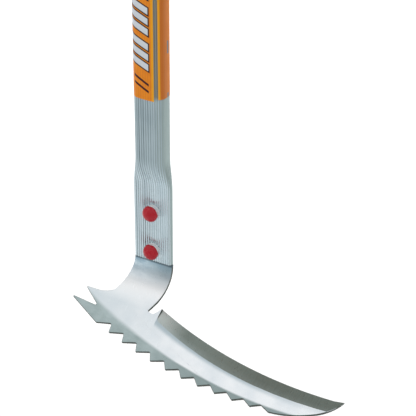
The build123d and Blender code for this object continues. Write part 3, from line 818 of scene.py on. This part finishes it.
def ground_steel():
    """Satin sheet steel, with a bevel ground across its edge and a duller band along the teeth, and painted
    light and shade: darker and bluish near the tube, darker at the left, beside the bevel and on the rims,
    paler where the bend ends and on the bevel's inner side.
    """
    m = Nodes("ground_steel")
    slope = radians(BEND_ANGLE)
    face_normal = (0, -cos(slope), sin(slope))
    up_slope = (0, sin(slope), cos(slope))
    place = m.place()
    normal = m.add("ShaderNodeNewGeometry").outputs["True Normal"]
    facing = m.dot(normal, face_normal)
    tilt = m.dot(normal, up_slope)
    x, _, height = m.split(place)
    flat_top = TUBE_LOW - (NECK_STRAIGHT + BEND_RADIUS * sin(slope)) * MM
    below_bend = m.math("LESS_THAN", height, flat_top)
    ground = m.times(below_bend, m.math("GREATER_THAN", facing, 0.9))

    # places in the flattened sheet: depth below the handle, then how far below the cutting edge
    bend_end = NECK_STRAIGHT + BEND_RADIUS * slope
    depth = m.math("MULTIPLY_ADD", m.math("SUBTRACT", flat_top, height), 1 / cos(slope), bend_end * MM)
    from_centre = m.math("SUBTRACT", depth, (EDGE_CROWN_DEPTH - EDGE_RADIUS) * MM)
    across = m.math("SUBTRACT", x, EDGE_CROWN_X * MM)
    angle = m.math("ARCTAN2", across, from_centre)
    from_edge = m.math("SUBTRACT", m.hypotenuse(across, from_centre), EDGE_RADIUS * MM)

    bevel = m.times(ground, m.between(tilt, 0.09, 0.13))

    # rims: below the bend, faces turned away from the sheet's normal, and anywhere, faces turned to a side;
    # painted dark as painted shade along the cut and eased edges
    in_sheet = m.math("LESS_THAN", m.math("ABSOLUTE", facing), 0.95)
    sideways = m.math("GREATER_THAN", m.math("ABSOLUTE", m.split(normal)[0]), 0.3)
    rim = m.math("MAXIMUM", m.times(in_sheet, below_bend), sideways)

    band_across = m.math("SUBTRACT", x, BAND_CENTRE_X * MM)
    band_down = m.math("ADD", depth, BAND_CENTRE_RISE * MM)
    into_band = m.math("SUBTRACT", m.hypotenuse(band_across, band_down), BAND_RADIUS * MM)
    spread = m.over(x, BAND_WIDENS, 0.0, BAND_SPREAD * MM)
    spread = m.times(spread, m.over(x, BAND_NARROWS, 1.0, 0.1))
    into_band = m.math("ADD", into_band, spread)
    fade = m.over(x, BAND_SOFTNESS_FALLS, -BAND_FADE * MM, -0.4 * BAND_FADE * MM)
    band = m.times(ground, m.between(into_band, fade, 0.1 * BAND_FADE * MM, smooth=True))

    clouds = m.noise(place, 55.0, 4.0)
    mottle = m.noise(m.scaled(place, (0.6, 1.0, 1.5)), 110.0, 5.0, 0.6)
    brushed = m.noise(m.scaled(place, (1.0, 0.1, 0.1)), 2200.0, 2.0)
    strokes = m.add("ShaderNodeCombineXYZ")
    m.feed(strokes.inputs[0], m.times(angle, EDGE_RADIUS * MM * GRIND_LINES))
    m.feed(strokes.inputs[1], m.times(from_edge, 30.0))
    grinding = m.noise(strokes.outputs[0], 1.0, 3.0)

    satin = m.mix(m.between(clouds, 0.35, 0.65), srgb(236, 240, 243), srgb(222, 229, 234))
    # painted shade: the sheet darker towards the left, near the neck
    satin = m.mix(m.over(x, SHEET_BRIGHTENS, 0.9, 0.0), satin, srgb(200, 211, 216))
    # painted highlight: a paler band where the bend ends and the flat begins
    painted_bend_highlight = m.between(
        height, flat_top + BEND_BRIGHTENS[0] * MM, flat_top + BEND_BRIGHTENS[1] * MM
    )
    satin = m.mix(painted_bend_highlight, satin, srgb(250, 251, 252))
    # painted reflection: near the tube the neck takes a darker, bluish mottled tone, greyer towards the
    # right, standing for the darker surround it faces
    near_neck = m.between(
        height, TUBE_LOW + NECK_PAINTED_REFLECTION[0] * MM, TUBE_LOW + NECK_PAINTED_REFLECTION[1] * MM, smooth=True
    )
    neck_reflection = m.mix(m.between(mottle, 0.38, 0.62), srgb(164, 192, 208), srgb(216, 236, 246))
    wandering_x = m.math("MULTIPLY_ADD", mottle, NECK_WANDER * MM, x)
    neck_reflection = m.mix(m.over(wandering_x, NECK_TURNS_GREY, 0.0, 0.85), neck_reflection, srgb(142, 164, 174))
    satin = m.mix(near_neck, satin, neck_reflection)
    # painted shade: a darker, bluish strip along the inner side of the bevel, fading towards the point
    fade_end = (BEVEL_WIDTH + BEVEL_FADE) * MM
    beside_bevel = m.between(from_edge, BEVEL_WIDTH * MM, fade_end, 1.0, 0.0, True)
    beside_bevel = m.times(beside_bevel, m.math("GREATER_THAN", x, BEVEL_START_X * MM))
    beside_bevel = m.times(beside_bevel, m.over(x, BEVEL_SHADOW_FALLS, 1.0, 0.3))
    beside_bevel = m.times(beside_bevel, ground)
    colour = m.mix(beside_bevel, satin, srgb(176, 190, 197))
    dull = m.mix(m.between(mottle, 0.35, 0.65), srgb(152, 168, 168), srgb(172, 187, 188))
    dull = m.mix(m.over(x, BAND_DARKENS, 0.0, 0.8), dull, srgb(136, 151, 151))
    colour = m.mix(band, colour, dull)
    from_heel = m.over(x, BEVEL_DARKENS, smooth=True)
    dark = m.mix(from_heel, srgb(196, 205, 201), srgb(118, 127, 121))
    dark = m.mix(m.over(x, BEVEL_DARKENS_AGAIN), dark, srgb(92, 100, 94))
    dark = m.mix(m.between(grinding, 0.3, 0.7, 0.0, 0.18), dark, srgb(140, 150, 146))
    # painted gleam: the bevel's inner side paler, mostly near the heel
    towards_heel = m.over(x, BEVEL_GLEAM_FALLS, 0.6, 0.15)
    painted_gleam = m.times(m.over(from_edge, BEVEL_INNER_SIDE), towards_heel)
    dark = m.mix(painted_gleam, dark, srgb(165, 177, 178))
    dark = m.mix(m.over(from_edge, KEEN_LINE, 0.8, 0.0), dark, srgb(70, 76, 72))
    colour = m.mix(bevel, colour, dark)
    # painted shade along the rims
    colour = m.mix(rim, colour, m.mix(clouds, srgb(62, 68, 64), srgb(86, 92, 86)))
    # painted shadow: darker just below the tube's lower end
    shade_low, shade_high = TUBE_LOW - JOINT_SHADE * MM, TUBE_LOW - 0.3 * JOINT_SHADE * MM
    joint = m.between(height, shade_low, shade_high, smooth=True)
    colour = m.mix(m.times(joint, 0.85), colour, srgb(70, 88, 98))
    m.feed(m.shader.inputs["Base Color"], colour)
    m.feed(m.shader.inputs["Roughness"], m.between(brushed, 0.3, 0.7, 0.27, 0.36))
    m.fix(Metallic=1.0)
    grooves = m.times(m.times(grinding, bevel), 0.6)
    m.bump(m.math("MULTIPLY_ADD", brushed, 0.3, grooves), 0.12, 0.04 * MM)
    return m.material


def dress(piece, material):
    if not piece.data.materials:
        piece.data.materials.append(material)
    for slot in piece.material_slots:
        slot.material = material


# ---------------------------------------------------------------- stage, lights and camera

def build_floor():
    """A plain pale floor, well below the hanging tool."""
    mesh = bpy.data.meshes.new("floor")
    half = FLOOR_SIZE / 2
    z = CAD_BOX[0].z - FLOOR_DROP * MM
    corners = [(-half, -half, z), (half, -half, z), (half, half, z), (-half, half, z)]
    mesh.from_pydata(corners, [], [(0, 1, 2, 3)])
    floor = bpy.data.objects.new("floor", mesh)
    bpy.context.scene.collection.objects.link(floor)
    m = Nodes("pale_floor")
    m.fix(Base_Color=(0.78, 0.78, 0.78, 1), Roughness=0.9, Specular_IOR_Level=0.0)
    dress(floor, m.material)


def add_softbox(name, place, target, size, power):
    light = bpy.data.lights.new(name, "AREA")
    light.shape, light.size, light.size_y = "RECTANGLE", size[0], size[1]
    light.energy = power
    lamp = bpy.data.objects.new(name, light)
    bpy.context.scene.collection.objects.link(lamp)
    lamp.location = place
    lamp.visible_camera = False
    lamp.rotation_euler = (Vector(target) - Vector(place)).to_track_quat("-Z", "Y").to_euler()


def build_lights():
    """Softboxes overhead, at the left for gloss and behind for the floor, and a surround paler above."""
    floor_z = CAD_BOX[0].z - FLOOR_DROP * MM
    add_softbox("overhead", (-0.9, -0.6, TUBE_LOW + 2.2), (0.05, 0.0, TUBE_LOW), (1.9, 2.4), OVERHEAD_POWER)
    add_softbox("gloss", (-1.2, -1.3, TUBE_LOW + 0.3), (0.0, 0.0, TUBE_LOW), (0.3, 0.3), GLOSS_POWER)
    add_softbox("behind", (-0.4, 1.3, floor_z + 1.3), (-0.4, 0.9, floor_z), (1.6, 1.6), BEHIND_POWER)
    world = bpy.data.worlds.new("studio")
    world.use_nodes = True
    tree = world.node_tree
    direction = tree.nodes.new("ShaderNodeTexCoord").outputs["Generated"]
    height = tree.nodes.new("ShaderNodeSeparateXYZ")
    tree.links.new(direction, height.inputs[0])
    ramp = tree.nodes.new("ShaderNodeMapRange")
    tree.links.new(height.outputs["Z"], ramp.inputs["Value"])
    for name, value in SURROUND.items():
        ramp.inputs[name].default_value = value
    tree.links.new(ramp.outputs["Result"], tree.nodes["Background"].inputs["Color"])
    bpy.context.scene.world = world
    bpy.context.scene.view_settings.view_transform = "Standard"


def build_camera():
    camera = bpy.data.cameras.new("camera")
    camera.lens, camera.sensor_width = CAMERA_LENS, CAMERA_SENSOR
    holder = bpy.data.objects.new("camera", camera)
    bpy.context.scene.collection.objects.link(holder)
    turn = Euler((radians(90 - CAMERA_ELEVATION), 0, radians(CAMERA_AZIMUTH))).to_matrix()
    turn = turn @ Matrix.Rotation(radians(CAMERA_ROLL), 3, "Z")
    aim = Vector((CAMERA_AIM[0] * MM, CAMERA_AIM[1] * MM, TUBE_LOW + CAMERA_AIM[2] * MM))
    place = aim + turn @ Vector((0, 0, CAMERA_DISTANCE * MM))
    holder.matrix_world = Matrix.Translation(place) @ turn.to_4x4()
    bpy.context.scene.camera = holder


# ---------------------------------------------------------------- the scene

dress(build_handle_tube(), aluminium())
label = build_label()
dress(label, printed_film(max(corner.uv[0] for corner in label.data.uv_layers["print"].data)))
dress(build_grip_sleeve(), black_rubber())
dress(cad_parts["end_cap"], black_plastic())
dress(build_blade(), ground_steel())
red = red_plastic()
# Lit and shaded copies of one zinc: the front washers and nuts paler and less metallic, painted light for
# their bright rims; the bolts and rear washers darker, painted dim under the lamp behind.
front_zinc_painted_bright = zinc("zinc_painted_bright", srgb(234, 239, 244), srgb(248, 250, 250), 0.3)
rear_zinc_painted_dim = zinc("zinc_painted_dim", srgb(196, 203, 209), srgb(216, 220, 222), 0.6)
plates = {
    "front_washer": front_zinc_painted_bright, "spring_washer": front_zinc_painted_bright, "nut": front_zinc_painted_bright,
    "bolt": rear_zinc_painted_dim, "rear_washer": rear_zinc_painted_dim,
}
for level in ("lower", "upper"):
    dress(build_nut_cap(level), red)
    for kind, plate in plates.items():
        dress(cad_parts[f"{level}_{kind}"], plate)

build_floor()
build_lights()
build_camera()
